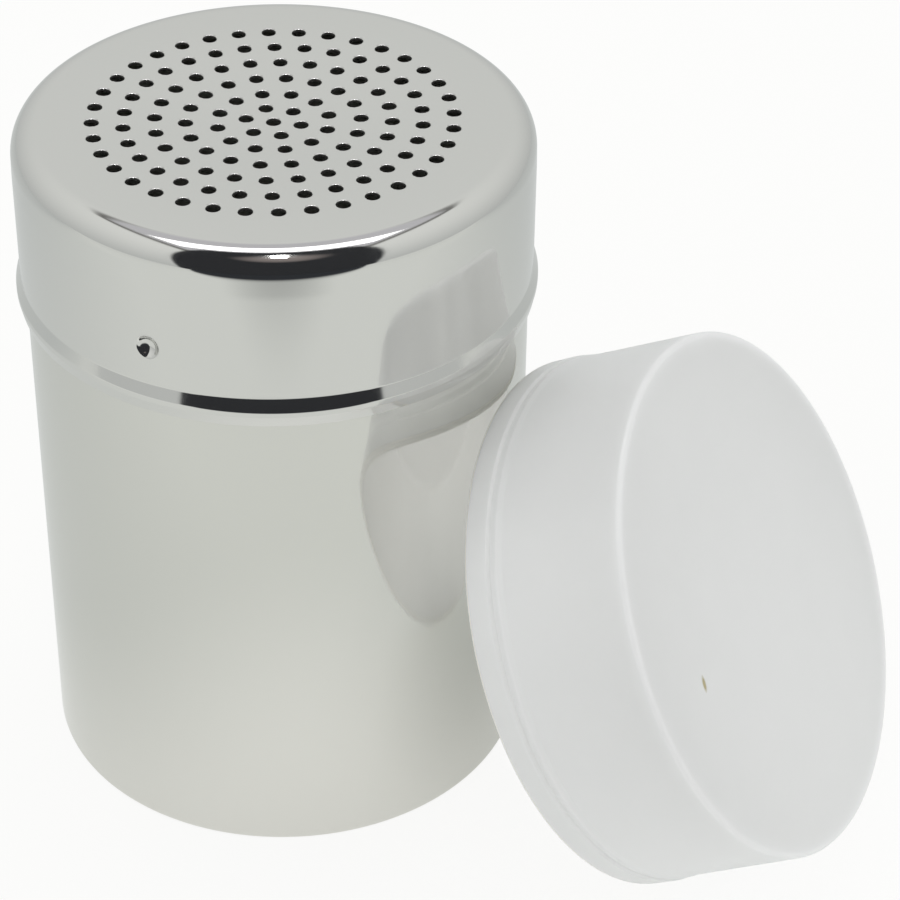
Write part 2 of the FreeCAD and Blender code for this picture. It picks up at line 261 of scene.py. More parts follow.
def stainless(name, colour, smooth, rough, metallic):
    """The steel's material, with gloss that varies along its drawn lines and from patch to patch.

    The lines run along the upright axis, where their noise is stretched. Their noise times the
    patches' noise, between its low and its high, sets the roughness from smooth to rough.
    """
    material, tree = new_material(name)
    place = add_node(tree, "TexCoord")
    stretch = add_node(
        tree, "Mapping", {"Scale": (1, 1, LINE_STRETCH)}, {"Vector": place.outputs["Object"]}
    )
    lines = add_node(
        tree,
        "TexNoise",
        {"Scale": 1 / LINE_SPACING, "Detail": 3.0, "Roughness": 0.6},
        {"Vector": stretch.outputs["Vector"]},
    )
    patches = add_node(
        tree,
        "TexNoise",
        {"Scale": 1 / PATCH_SIZE, "Detail": 2.0},
        {"Vector": place.outputs["Object"]},
    )
    both = add_node(
        tree,
        "Math",
        {"operation": "MULTIPLY"},
        {0: lines.outputs["Fac"], 1: patches.outputs["Fac"]},
    )
    gloss = add_node(
        tree,
        "MapRange",
        {"From Min": GLOSS_LOW, "From Max": GLOSS_HIGH, "To Min": smooth, "To Max": rough},
        {"Value": both.outputs["Value"]},
    )
    waves = add_node(
        tree,
        "TexNoise",
        {"Scale": 1 / WAVE_LENGTH, "Detail": 1.0},
        {"Vector": place.outputs["Object"]},
    )
    wavy = add_node(
        tree, "Bump", {"Distance": WAVE_HEIGHT}, {"Height": waves.outputs["Fac"]}
    )
    lined = add_node(
        tree,
        "Bump",
        {"Distance": LINE_HEIGHT},
        {"Height": lines.outputs["Fac"], "Normal": wavy.outputs["Normal"]},
    )
    steel = add_node(
        tree,
        "BsdfPrincipled",
        {"Base Color": linear(colour), "Metallic": metallic},
        {"Roughness": gloss.outputs["Result"], "Normal": lined.outputs["Normal"]},
    )
    add_node(tree, "OutputMaterial", links={"Surface": steel.outputs["BSDF"]})
    return material


# Past these parts of its normal a face counts as turned in to the axis, or as facing up
TURNED_IN = -0.1
FACING_UP = 0.1


def faces_of(piece):
    """The middle, the normal and the normal's part away from the upright axis of each face."""
    faces = piece.data.polygons
    middles, normals = np.empty(len(faces) * 3), np.empty(len(faces) * 3)
    faces.foreach_get("center", middles)
    faces.foreach_get("normal", normals)
    middles, normals = middles.reshape(-1, 3), normals.reshape(-1, 3)
    outward = (middles[:, :2] * normals[:, :2]).sum(1) / np.hypot(*middles[:, :2].T)
    return middles, normals, outward


can.data.materials.append(stainless("polished_stainless_can", CAN_COLOUR, *POLISHED))
can.data.materials.append(stainless("drawn_stainless_can", CAN_COLOUR, *AS_DRAWN))
middles, normals, outward = faces_of(can)
can_floor = (middles[:, 2] < CAN_CORNER) & (normals[:, 2] > FACING_UP)
can_parts = (outward < TURNED_IN) | can_floor
can.data.polygons.foreach_set("material_index", can_parts.astype(np.int32))
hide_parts("container")
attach(can, "container")

# Shaker lid: drawn from 0.4 mm stainless sheet to slip over the can. Its top is dished a little
# and punched with 127 holes of 2 mm, one in the middle and six rings round it. Its wall has a
# stiffening bead near its cut lower edge and two pips pressed inward.
LID_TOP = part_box("shaker_lid")[1].z
LID_RADIUS = 35.0 * MM
LID_SHEET = 0.4 * MM
SHOULDER = 3.5 * MM
LEAN = 0.12 * MM
LEAN_END = 6.0 * MM
LEAN_BEND = 45 * MM
DISH_DEPTH = 0.7 * MM
DISH_RADIUS = 30.0 * MM
PUNCHED_RADIUS = 26.0 * MM
BEAD_RISE = 0.65 * MM
BEAD_RETURN = 0.35 * MM
BEAD_BEND = 0.6 * MM
BEAD_START, BEAD_CREST, BEAD_END, LID_HEIGHT = (d * MM for d in (21.2, 22.9, 23.6, 25.2))
PIP_MOUTH = 1.6 * MM
PIP_DEPTH = 1.1 * MM
PIP_EASE = 0.3 * MM
PIP_REACH = 2.2 * MM
PIP_ROWS = 18
PIP_SPAN = 5
LID_STEP, LID_FINE_STEP = 1.0, 0.25
LID_ROUND_STEPS = 24
DISH_RIM_ROWS = 4
CELL_SIDE_POINTS = 2
INSIDE_COARSER = 3
HOLE_LINE = -139.2
HOLE_SHIFT = np.array([-0.1, 0.0]) * MM
HOLE_RADIUS = 0.97 * MM
HOLES_PER_RING = 6
RING_RADII = [radius * MM for radius in (3.75, 7.5, 11.63, 15.76, 19.89, 24.02)]
FIRST_RING_LAG = 4.2
BORDER_STEPS = (6.0, 3.0, 2.5, 1.0, 1.0, 1.0)
# How far out from the hole, and how far down, the punched edge runs, in mm
HOLE_EDGE = [
    (0.34, 0.0),
    (0.22, 0.0),
    (0.15, 0.008),
    (0.09, 0.03),
    (0.045, 0.058),
    (0.012, 0.11),
    (0.0, 0.17),
    (0.0, 0.4),
]


def dished(radius):
    """The height of the lid's top at a radius.

    It follows half a wave of a cosine, from the dish's full depth in the middle to level with
    the shoulder's start at the dish's edge.
    """
    share = np.minimum(radius / DISH_RADIUS, 1)
    return LID_TOP - DISH_DEPTH / 2 * (1 + np.cos(np.pi * share))


def pip_dent(section, turns, wall, grown):
    """How far the pips draw a wall in, at each point of the section and each turn.

    A pip is a ball, grown by the sheet on the inside. The wall's radius there is the smaller of
    the wall's and the ball's, with the step between them rounded off over a short ease.
    """
    ball = (PIP_MOUTH**2 + PIP_DEPTH**2) / (2 * PIP_DEPTH)
    centre = LID_RADIUS - PIP_DEPTH + ball
    dent = np.zeros((len(section), len(turns)))
    for pip in PIP_TURNS:
        across = wall * np.radians((turns - pip + 180) % 360 - 180)[None]
        distance = np.hypot(across, section[:, 1:] - PIP_HEIGHT)
        surface = centre - np.sqrt(np.maximum((ball + grown) ** 2 - distance**2, 0))
        blend = np.maximum(PIP_EASE - np.abs(wall - surface), 0) ** 2 / (4 * PIP_EASE)
        dent = np.maximum(dent, wall - np.minimum(wall, surface) + blend)
    return dent


def lid_side(wall, sheet):
    """The corners of one side of the lid's sheet, from the dish's edge down to its cut edge.

    The wall is that side's radius, and the sheet is how far it lies below the lid's top.
    """
    crest = wall + BEAD_RISE
    return [
        (DISH_RADIUS, LID_TOP - sheet, 0, 0, 1),
        (wall - LEAN, LID_TOP - sheet, SHOULDER - sheet, LID_ROUND_STEPS, 1),
        (wall, LID_TOP - LEAN_END, LEAN_BEND, 4, 1),
        (wall, PIP_HEIGHT + PIP_REACH, 0, 0, PIP_ROWS),
        (wall, PIP_HEIGHT - PIP_REACH, 0, 0, 2),
        (wall, LID_TOP - BEAD_START, BEAD_BEND, 4, 1),
        (crest, LID_TOP - BEAD_CREST, BEAD_BEND, 4, 1),
        (crest, LID_TOP - BEAD_END, BEAD_BEND, 3, 1),
        (crest - BEAD_RETURN, LID_TOP - LID_HEIGHT, CUT_EDGE, 3, 1),
    ]


lid_inside = LID_RADIUS - LID_SHEET
down_outside = lid_side(LID_RADIUS, 0)
inside_corners = lid_side(lid_inside, LID_SHEET)[::-1]
divisions = [corner[4] for corner in inside_corners[1:]] + [0]
up_inside = [
    (*corner[:3], max(corner[3] // INSIDE_COARSER, 2), count)
    for corner, count in zip(inside_corners, divisions)
]
dish_rim = np.linspace(PUNCHED_RADIUS, DISH_RADIUS, DISH_RIM_ROWS + 1)[:-1]
dish_top = np.column_stack([dish_rim, dished(dish_rim)])
dish_under = dish_top[::-1] - [0, LID_SHEET]
lid_section = np.concatenate([dish_top, rounded_outline(down_outside + up_inside), dish_under])
pip_middles = [round(turn - HOLE_LINE) % 360 for turn in PIP_TURNS]
pip_ranges = [(middle - PIP_SPAN, middle + PIP_SPAN) for middle in pip_middles]
lid_turns = turns_round(LID_STEP, LID_FINE_STEP, pip_ranges)
on_outside = np.arange(len(lid_section)) < np.argmin(lid_section[:, 1])
world_turns = lid_turns + HOLE_LINE
dents = np.where(
    on_outside[:, None],
    pip_dent(lid_section, world_turns, LID_RADIUS, 0),
    pip_dent(lid_section, world_turns, lid_inside, LID_SHEET),
)
near_wall = lid_section[:, :1] > lid_inside - CUT_EDGE
lid_grids = [carried_round(lid_section, world_turns, dents * near_wall)]


def hole_cell(middle, border):
    """One hole and the sheet round it, from the lid's top down to its underside.

    Rows run from the cell's border in to the hole, over the edge that the punch drew down, down
    the hole's wall and back out to the border. A row on the edge is the hole's circle grown by
    an offset, and each of its points lies on the line from the hole's middle to a point of the
    border. Its height is the dish's there, less the row's drop.
    """
    outward = border - middle
    outward = outward / np.linalg.norm(outward, axis=1)[:, None]
    rows = [(border, 0)]
    rows += [(middle + outward * (HOLE_RADIUS + o * MM), d * MM) for o, d in HOLE_EDGE]
    rows += [(border, LID_SHEET)]
    return np.stack([
        np.column_stack([flat, dished(np.hypot(*flat.T)) - drop]) for flat, drop in rows
    ])


def polar(radius, turns):
    """Points at a radius and turns in degrees from the line that all the rings start on."""
    angles = np.radians(np.asarray(turns) + HOLE_LINE)
    return np.column_stack([radius * np.cos(angles), radius * np.sin(angles)])


# Each ring of cells shares its inner border's points with the ring inside it, and the last one
# shares its outer border's with the rest of the lid. A turn is given three times over, so that
# a cell that lies across the start line finds its own.
border_turns = [np.arange(-360, 720, step) for step in BORDER_STEPS]
border_turns += [np.concatenate([lid_turns - 360, lid_turns, lid_turns + 360])]
bounds = [RING_RADII[0] / 2]
bounds += [(near + far) / 2 for near, far in zip(RING_RADII, RING_RADII[1:])]
bounds += [PUNCHED_RADIUS]
lid_grids.append(hole_cell(HOLE_SHIFT, polar(bounds[0], np.arange(0, 360, BORDER_STEPS[0]))))
for ring, radius in enumerate(RING_RADII, start=1):
    pitch = 360 // (HOLES_PER_RING * ring)
    inner, outer = bounds[ring - 1], bounds[ring]
    sides = np.linspace(outer, inner, CELL_SIDE_POINTS + 2)[1:-1]
    for turn in range(0, 360, pitch):
        low = turn - pitch // 2
        high = low + pitch
        near, far = (
            turns[(turns >= low) & (turns <= high)] for turns in border_turns[ring - 1 : ring + 1]
        )
        border = np.concatenate([
            polar(outer, far),
            polar(sides, np.full(len(sides), high)),
            polar(inner, near[::-1]),
            polar(sides[::-1], np.full(len(sides), low)),
        ])
        lag = FIRST_RING_LAG if ring == 1 else 0
        lid_grids.append(hole_cell(polar(radius, [turn + lag])[0] + HOLE_SHIFT, border))
lid = sheet_piece("punched_lid", lid_grids)

# The polished outside, the sheet as drawn on the inside and underneath, and the holes' walls,
# rough from the punch's cut and painted darker as painted shade in the holes
FACING_DOWN = -0.5
HOLE_WALL_SLOPE = 0.77
LID_OUTSIDE, LID_INSIDE, HOLE_WALL_SHADED = range(3)
LID_COLOUR = "d6d6d3"
HOLE_WALL_PAINTED_SHADE = "6b6b69"
lid.data.materials.append(stainless("polished_stainless_lid", LID_COLOUR, *POLISHED))
lid.data.materials.append(stainless("drawn_stainless_lid", LID_COLOUR, *AS_DRAWN))
lid.data.materials.append(stainless("punched_stainless_lid_painted_shade", HOLE_WALL_PAINTED_SHADE, *AS_DRAWN))
middles, normals, outward = faces_of(lid)
punched = np.hypot(*middles[:, :2].T) < PUNCHED_RADIUS
underneath = (middles[:, 2] < LID_TOP - LID_SHEET) & (normals[:, 2] < FACING_DOWN)
hole_walls = punched & (np.abs(normals[:, 2]) < HOLE_WALL_SLOPE)
lid_parts = np.full(len(middles), LID_OUTSIDE, np.int32)
lid_parts[~punched & (outward < TURNED_IN) | underneath] = LID_INSIDE
# The holes' walls take the darkened colour: painted shade
lid_parts[hole_walls] = HOLE_WALL_SHADED
lid.data.polygons.foreach_set("material_index", lid_parts)
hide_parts("shaker_lid")
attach(lid, "lid")

# Cap: moulded in one from unpigmented polypropylene, with a thicker lip, a low ridge behind it
# and a rounded corner. It was pulled off the lid, and leans on the container on its lip.
CAP_RADIUS = 36.9 * MM
CAP_WALL = 0.9 * MM
CAP_DEPTH = 23.5 * MM
CAP_STEP_RADIUS = 36.5 * MM
CAP_LIP = 3.5 * MM
CAP_LIP_TOP = 3.9 * MM
CAP_RIDGE, CAP_RIDGE_RADIUS = 4.85 * MM, 36.72 * MM
CAP_RIDGE_END = 5.8 * MM
CAP_FACE_RADIUS = 36.0 * MM
CAP_CORNER = 0.75 * MM
CAP_INNER_CORNER = 0.3 * MM
RIDGE_FOOT_BEND = 0.8 * MM
RIDGE_BEND = 0.6 * MM
LIP_FOOT_BEND = 0.3 * MM
LIP_BEND = 0.25 * MM
LIP_END_BEND = 0.45 * MM
LIP_INNER_BEND = 0.2 * MM
CAP_STEP = 1.0

# The cap's own axes: level, up its slope and out of its face, which is how its joint runs
cap_joint = next(joint for joint in frame["joints"] if joint["child"] == "cap")
cap_out = np.array(cap_joint["axis"]) / np.linalg.norm(cap_joint["axis"])
cap_level = np.cross((0, 0, 1), cap_out)
cap_level /= np.linalg.norm(cap_level)
cap_steep = np.cross(cap_out, cap_level)
cap_axes = np.array([cap_level, cap_steep, cap_out])
cap_node = frame["nodes"]["plastic_cap"].data.vertices
cap_points = np.array([vertex.co for vertex in cap_node]) @ cap_axes.T
cap_low, cap_high = cap_points.min(0), cap_points.max(0)
cap_middle = np.array([*(cap_low + cap_high)[:2] / 2, cap_low[2]]) @ cap_axes

cap_section = rounded_outline([
    (0, CAP_DEPTH, 0, 0, 6),
    (CAP_FACE_RADIUS, CAP_DEPTH, CAP_CORNER, 12, 4),
    (CAP_STEP_RADIUS, CAP_RIDGE_END, RIDGE_FOOT_BEND, 3, 1),
    (CAP_RIDGE_RADIUS, CAP_RIDGE, RIDGE_BEND, 4, 1),
    (CAP_STEP_RADIUS, CAP_LIP_TOP, LIP_FOOT_BEND, 4, 1),
    (CAP_RADIUS, CAP_LIP, LIP_BEND, 4, 2),
    (CAP_RADIUS, 0, LIP_END_BEND, 8, 1),
    (CAP_STEP_RADIUS - CAP_WALL, 0, LIP_INNER_BEND, 4, 6),
    (CAP_FACE_RADIUS - CAP_WALL, CAP_DEPTH - CAP_WALL, CAP_INNER_CORNER, 8, 4),
    (0, CAP_DEPTH - CAP_WALL, 0, 0, 0),
])
cap_grid = carried_round(cap_section, np.arange(0, 360, CAP_STEP)) @ cap_axes + cap_middle
cap = sheet_piece("moulded_cap", [cap_grid])

# Natural polypropylene: milky, because light travels some way inside it before it comes out,
# with a smooth waxy gloss. A small brown fleck is moulded into the face.
FLECK_PLACE = (-23.05, 1.63)
FLECK_HALF_SIZE = (1.3, 0.5, 0.8)
FLECK_TURN = math.radians(67)
FLECK_FADE = 0.5
FLECK_COLOUR = "a0956c"
CLOUD_SIZE = 12 * MM
GRAIN_SIZE = 1.2 * MM
GRAIN_HEIGHT = 0.002 * MM
WAXY_GLOSS = 0.28, 0.38
LIGHT_REACH = 6.0 * MM
LIGHT_PASSED = 0.88
INSIDE_REACH = 12.0 * MM
LIP_END = 0.42 * MM
fleck_middle = np.array([*FLECK_PLACE, CAP_DEPTH / MM]) * MM @ cap_axes + cap_middle
fleck_turn = Matrix(cap_axes.T.tolist()) @ Matrix.Rotation(FLECK_TURN, 3, "Z")


def polypropylene(name, pale, palest, reach):
    """The cap's material, in soft clouds between two tones, with the fleck.

    The reach is how far light travels inside it.
    """
    material, tree = new_material(name)
    place = add_node(tree, "TexCoord")
    fleck_space = add_node(
        tree,
        "Mapping",
        {
            "vector_type": "TEXTURE",
            "Location": fleck_middle.tolist(),
            "Rotation": fleck_turn.to_euler(),
            "Scale": [size * MM for size in FLECK_HALF_SIZE],
        },
        {"Vector": place.outputs["Object"]},
    )
    fleck_shape = add_node(
        tree,
        "TexGradient",
        {"gradient_type": "SPHERICAL"},
        {"Vector": fleck_space.outputs["Vector"]},
    )
    fleck = add_node(
        tree,
        "MapRange",
        {"From Min": 0.0, "From Max": FLECK_FADE},
        {"Value": fleck_shape.outputs["Fac"]},
    )
    clouds = add_node(
        tree,
        "TexNoise",
        {"Scale": 1 / CLOUD_SIZE, "Detail": 2.0},
        {"Vector": place.outputs["Object"]},
    )
    milk = add_node(
        tree,
        "Mix",
        {"data_type": "RGBA", 6: linear(pale), 7: linear(palest)},
        {0: clouds.outputs["Fac"]},
    )
    colour = add_node(
        tree,
        "Mix",
        {"data_type": "RGBA", 7: linear(FLECK_COLOUR)},
        {0: fleck.outputs["Result"], 6: milk.outputs[2]},
    )
    grain = add_node(
        tree,
        "TexNoise",
        {"Scale": 1 / GRAIN_SIZE, "Detail": 2.0},
        {"Vector": place.outputs["Object"]},
    )
    bump = add_node(tree, "Bump", {"Distance": GRAIN_HEIGHT}, {"Height": grain.outputs["Fac"]})
    gloss = add_node(
        tree,
        "MapRange",
        {"To Min": WAXY_GLOSS[0], "To Max": WAXY_GLOSS[1]},
        {"Value": clouds.outputs["Fac"]},
    )
    plastic = add_node(
        tree,
        "BsdfPrincipled",
        {
            "IOR": 1.49,
            "Subsurface Weight": 1.0,
            "Subsurface Radius": (1.0, 1.0, 1.0),
            "Subsurface Scale": reach,
        },
        {
            "Base Color": colour.outputs[2],
            "Roughness": gloss.outputs["Result"],
            "Normal": bump.outputs["Normal"],
        },
    )
    # Each face of the wall lets part of the lamps' light in, so the inside is nearly as bright
    rays = add_node(tree, "LightPath")
    passed = add_node(
        tree, "Math", {"operation": "MULTIPLY", 1: LIGHT_PASSED}, {0: rays.outputs["Is Shadow Ray"]}
    )
    clear = add_node(tree, "BsdfTransparent")
    lit_through = add_node(
        tree,
        "MixShader",
        links={
            0: passed.outputs["Value"],
            1: plastic.outputs["BSDF"],
            2: clear.outputs["BSDF"],
        },
    )
    add_node(tree, "OutputMaterial", links={"Surface": lit_through.outputs["Shader"]})
    return material


# The outside; the inside, painted lighter with a longer light reach, as painted light for the
# light that gathers there; the lip's thin end, painted lightest, as painted light where most of it
# gathers; and the rest of the lip, which is thick, painted a little darker as painted shade
CAP_TURNED_IN = -0.5
CAP_OUTSIDE, INSIDE_PAINTED_LIGHTER, LIP_END_PAINTED_LIGHTER, LIP_PAINTED_DARKER = range(4)
for part_name, pale, palest, reach in (
    ("outside", "e6e9ea", "eaedee", LIGHT_REACH),
    ("inside", "f5f6f3", "f8f9f6", INSIDE_REACH),
    ("lip_end_painted_light", "fbf9ea", "fdfbee", INSIDE_REACH),
    ("lip", "dcdede", "e0e2e1", LIGHT_REACH),
):
    name = "natural_polypropylene_" + part_name
    cap.data.materials.append(polypropylene(name, pale, palest, reach))
middles, normals, outward = faces_of(cap)
from_lip = (middles - cap_middle) @ cap_out
from_axis = middles - cap_middle - from_lip[:, None] * cap_out
from_axis /= np.linalg.norm(from_axis, axis=1)[:, None]
cap_parts = np.full(len(middles), CAP_OUTSIDE, np.int32)
# Lighter and darker copies of the one plastic: painted light and painted shade
cap_parts[from_lip < CAP_LIP_TOP] = LIP_PAINTED_DARKER
cap_parts[(normals * (from_axis + cap_out)).sum(1) < CAP_TURNED_IN] = INSIDE_PAINTED_LIGHTER
cap_parts[from_lip < LIP_END] = LIP_END_PAINTED_LIGHTER
cap.data.polygons.foreach_set("material_index", cap_parts)
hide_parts("plastic_cap")
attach(cap, "cap")

# Floor: a plain white sheet that the shaker stands on. The camera sees it white, with the
# object's shadow. In the steel it shows painted light and shade: a painted pool of light round
# the can's foot, painted shade beside it under the cap, painted shade towards the back, and a
# painted dark in front, which stands for the tent's dark opening.
FLOOR_DROP = 0.02 * MM
FLOOR_REACH = 2.0
GLOW_MIDDLE = (5 * MM, -30 * MM, 0.0)
GLOW_START, GLOW_END = 4 * MM, 80 * MM
DIMMING_START, DIMMING_END = -100 * MM, 120 * MM
FADE_START, FADE_END = 140 * MM, 280 * MM
FADE_NARROWING = 1.42
SEEN_GLOW = 0.92
SHADE_MIDDLE = (48 * MM, -14 * MM, 0.0)
SHADE_EDGE = 45 * MM
SHADE_DEPTH = 0.3
MIRRORED_GLOW = 0.45
MIRRORED_BOOST = 0.3

floor_mesh = bpy.data.meshes.new("floor")
floor_corners = [
    (-FLOOR_REACH, -FLOOR_REACH, -FLOOR_DROP),
    (FLOOR_REACH, -FLOOR_REACH, -FLOOR_DROP),
    (FLOOR_REACH, FLOOR_REACH, -FLOOR_DROP),
    (-FLOOR_REACH, FLOOR_REACH, -FLOOR_DROP),
]
floor_mesh.from_pydata(floor_corners, [], [(0, 1, 2, 3)])
floor = bpy.data.objects.new("floor", floor_mesh)
bpy.context.scene.collection.objects.link(floor)
floor_paint, floor_tree = new_material("white_floor")
floor_place = add_node(floor_tree, "TexCoord")
# A painted pool of light round the can's foot, seen only in the steel
floor_distance = add_node(
    floor_tree,
    "VectorMath",
    {"operation": "DISTANCE", 1: GLOW_MIDDLE},
    {0: floor_place.outputs["Object"]},
)
floor_glow_share = add_node(
    floor_tree,
    "MapRange",
    {
        "interpolation_type": "SMOOTHSTEP",
        "From Min": GLOW_END,
        "From Max": GLOW_START,
    },
    {"Value": floor_distance.outputs["Value"]},
)
floor_axes = add_node(floor_tree, "SeparateXYZ", links={0: floor_place.outputs["Object"]})
# Painted shade on the floor in the steel, darker towards the back
floor_dimming_share = add_node(
    floor_tree,
    "MapRange",
    {"From Min": DIMMING_START, "From Max": DIMMING_END},
    {"Value": floor_axes.outputs["Y"]},
)
floor_painted_dimming = add_node(
    floor_tree,
    "Mix",
    {"data_type": "RGBA", 6: linear("e2e4e1"), 7: linear("c9cccb")},
    {0: floor_dimming_share.outputs["Result"]},
)
floor_painted_glow = add_node(
    floor_tree,
    "Mix",
    {"data_type": "RGBA", 7: linear("fffffd")},
    {0: floor_glow_share.outputs["Result"], 6: floor_painted_dimming.outputs[2]},
)
# A painted shadow on the floor in the steel, under the cap beside the can
shade_distance = add_node(
    floor_tree,
    "VectorMath",
    {"operation": "DISTANCE", 1: SHADE_MIDDLE},
    {0: floor_place.outputs["Object"]},
)
floor_painted_shade = add_node(
    floor_tree,
    "MapRange",
    {
        "interpolation_type": "SMOOTHSTEP",
        "From Min": SHADE_EDGE,
        "From Max": 0.0,
        "To Max": SHADE_DEPTH,
    },
    {"Value": shade_distance.outputs["Value"]},
)
floor_light_and_shade = add_node(
    floor_tree,
    "Mix",
    {"data_type": "RGBA", 7: linear("8a8c86")},
    {0: floor_painted_shade.outputs["Result"], 6: floor_painted_glow.outputs[2]},
)
# The painted dark in front, which stands for the tent's dark opening, starts in front and
# narrows in from both sides. Its distance is the square root of y squared less the square of x
# times the narrowing, and is nothing behind the shaker.
floor_ahead = add_node(
    floor_tree, "Math", {"operation": "MINIMUM", 1: 0.0}, {0: floor_axes.outputs["Y"]}
)
ahead_squared = add_node(
    floor_tree,
    "Math",
    {"operation": "MULTIPLY"},
    {0: floor_ahead.outputs["Value"], 1: floor_ahead.outputs["Value"]},
)
floor_beside = add_node(
    floor_tree, "Math", {"operation": "MULTIPLY", 1: FADE_NARROWING}, {0: floor_axes.outputs["X"]}
)
beside_squared = add_node(
    floor_tree,
    "Math",
    {"operation": "MULTIPLY"},
    {0: floor_beside.outputs["Value"], 1: floor_beside.outputs["Value"]},
)
fade_squared = add_node(
    floor_tree,
    "Math",
    {"operation": "SUBTRACT", "use_clamp": True},
    {0: ahead_squared.outputs["Value"], 1: beside_squared.outputs["Value"]},
)
fade_distance = add_node(
    floor_tree, "Math", {"operation": "SQRT"}, {0: fade_squared.outputs["Value"]}
)
floor_painted_dark = add_node(
    floor_tree,
    "MapRange",
    {"interpolation_type": "SMOOTHSTEP", "From Min": FADE_START, "From Max": FADE_END},
    {"Value": fade_distance.outputs["Value"]},
)
# What the steel sees of the floor: its painted light and shade, then the painted dark in front
floor_painted_in_steel = add_node(
    floor_tree,
    "Mix",
    {"data_type": "RGBA", 7: linear("34363a")},
    {0: floor_painted_dark.outputs["Result"], 6: floor_light_and_shade.outputs[2]},
)
floor_rays = add_node(floor_tree, "LightPath")
floor_mirrored = add_node(
    floor_tree,
    "Math",
    {"operation": "MAXIMUM"},
    {0: floor_rays.outputs["Is Glossy Ray"], 1: floor_rays.outputs["Is Transmission Ray"]},
)
floor_colour = add_node(
    floor_tree,
    "Mix",
    {"data_type": "RGBA", 6: linear("fdfdfc")},
    {0: floor_mirrored.outputs["Value"], 7: floor_painted_in_steel.outputs[2]},
)
floor_camera_share = add_node(
    floor_tree,
    "Math",
    {"operation": "MULTIPLY", 1: SEEN_GLOW},
    {0: floor_rays.outputs["Is Camera Ray"]},
)
floor_share = add_node(
    floor_tree,
    "Math",
    {"operation": "MULTIPLY_ADD", 1: MIRRORED_GLOW},
    {0: floor_mirrored.outputs["Value"], 2: floor_camera_share.outputs["Value"]},
)
floor_matt = add_node(floor_tree, "BsdfDiffuse", links={"Color": floor_colour.outputs[2]})
# The floor glows brighter in the steel than the camera sees it: painted light
floor_strength = add_node(
    floor_tree,
    "Math",
    {"operation": "MULTIPLY_ADD", 1: MIRRORED_BOOST, 2: 1.0},
    {0: floor_mirrored.outputs["Value"]},
)
floor_glow = add_node(
    floor_tree,
    "Emission",
    links={"Color": floor_colour.outputs[2], "Strength": floor_strength.outputs["Value"]},
)
floor_mix = add_node(
    floor_tree,
    "MixShader",
    links={
        0: floor_share.outputs["Value"],
        1: floor_matt.outputs["BSDF"],
        2: floor_glow.outputs["Emission"],
    },
)
add_node(floor_tree, "OutputMaterial", links={"Surface": floor_mix.outputs["Shader"]})
floor_mesh.materials.append(floor_paint)

# Studio: a white tent round the shaker lights it softly from all sides. What the steel mirrors
# has the tent's dark opening in front, with the small lamp's glare in it, and a strip with dark
# seams along its ceiling. Both are bounded by planes through the shaker: the shares of x, y and
# z whose sum is nothing on the plane and grows inwards.
OPENING_SIDE = (-1.0, -0.86, 0.294)
OPENING_TOP = (0.0, -1.0, 0.03)
STRIP_SIDE = (-1.0, 0.0, 0.44)
STRIP_BACK = (-1.0, -0.55, 0.83)
OPENING_SOFTNESS = 0.04
STRIP_SOFTNESS = 0.05
STRIP_LOW, STRIP_HIGH = 0.58, 0.74
SEAM_WIDTH = 0.06
SEAM_DEPTH = 0.9
WALL_TOP = 0.85
GLARE_DIRECTION = (0.02, -0.45, 0.89)
GLARE_EDGE, GLARE_MIDDLE = 0.955, 1.0
ROOM_LEVEL = 0.78

world = bpy.data.worlds.new("studio")
world.use_nodes = True
bpy.context.scene.world = world
sky = world.node_tree
sky.nodes.clear()
sky_place = add_node(sky, "TexCoord")
sky_axes = add_node(sky, "SeparateXYZ", links={0: sky_place.outputs["Generated"]})
sky_side = add_node(sky, "Math", {"operation": "ABSOLUTE"}, {0: sky_axes.outputs["X"]})
sky_folded = add_node(
    sky,
    "CombineXYZ",
    links={"X": sky_side.outputs["Value"], "Y": sky_axes.outputs["Y"], "Z": sky_axes.outputs["Z"]},
)
depths = {}
for bound, plane in (
    ("opening side", OPENING_SIDE),
    ("opening top", OPENING_TOP),
    ("strip side", STRIP_SIDE),
    ("strip back", STRIP_BACK),
):
    depth = add_node(
        sky, "VectorMath", {"operation": "DOT_PRODUCT", 1: plane}, {0: sky_folded.outputs["Vector"]}
    )
    depths[bound] = depth.outputs["Value"]
opening_depth = add_node(
    sky, "Math", {"operation": "MINIMUM"}, {0: depths["opening side"], 1: depths["opening top"]}
)
opening = add_node(
    sky,
    "MapRange",
    {"interpolation_type": "SMOOTHSTEP", "From Min": 0.0, "From Max": OPENING_SOFTNESS},
    {"Value": opening_depth.outputs["Value"]},
)
strip_depth = add_node(
    sky, "Math", {"operation": "MINIMUM"}, {0: depths["strip side"], 1: depths["strip back"]}
)
strip = add_node(
    sky,
    "MapRange",
    {"interpolation_type": "SMOOTHSTEP", "From Min": 0.0, "From Max": STRIP_SOFTNESS},
    {"Value": strip_depth.outputs["Value"]},
)
seam_distance = add_node(
    sky, "Math", {"operation": "ABSOLUTE"}, {0: strip_depth.outputs["Value"]}
)
seam = add_node(
    sky,
    "MapRange",
    {
        "interpolation_type": "SMOOTHSTEP",
        "From Min": SEAM_WIDTH,
        "From Max": 0.0,
        "To Max": SEAM_DEPTH,
    },
    {"Value": seam_distance.outputs["Value"]},
)
wall_height = add_node(
    sky, "MapRange", {"From Min": 0.0, "From Max": WALL_TOP}, {"Value": sky_axes.outputs["Z"]}
)
sky_wall = add_node(
    sky,
    "Mix",
    {"data_type": "RGBA", 6: linear("d0d2d1"), 7: linear("f4f5f3")},
    {0: wall_height.outputs["Result"]},
)
ceiling_share = add_node(
    sky,
    "MapRange",
    {"interpolation_type": "SMOOTHSTEP", "From Min": STRIP_LOW, "From Max": STRIP_HIGH},
    {"Value": sky_axes.outputs["Z"]},
)
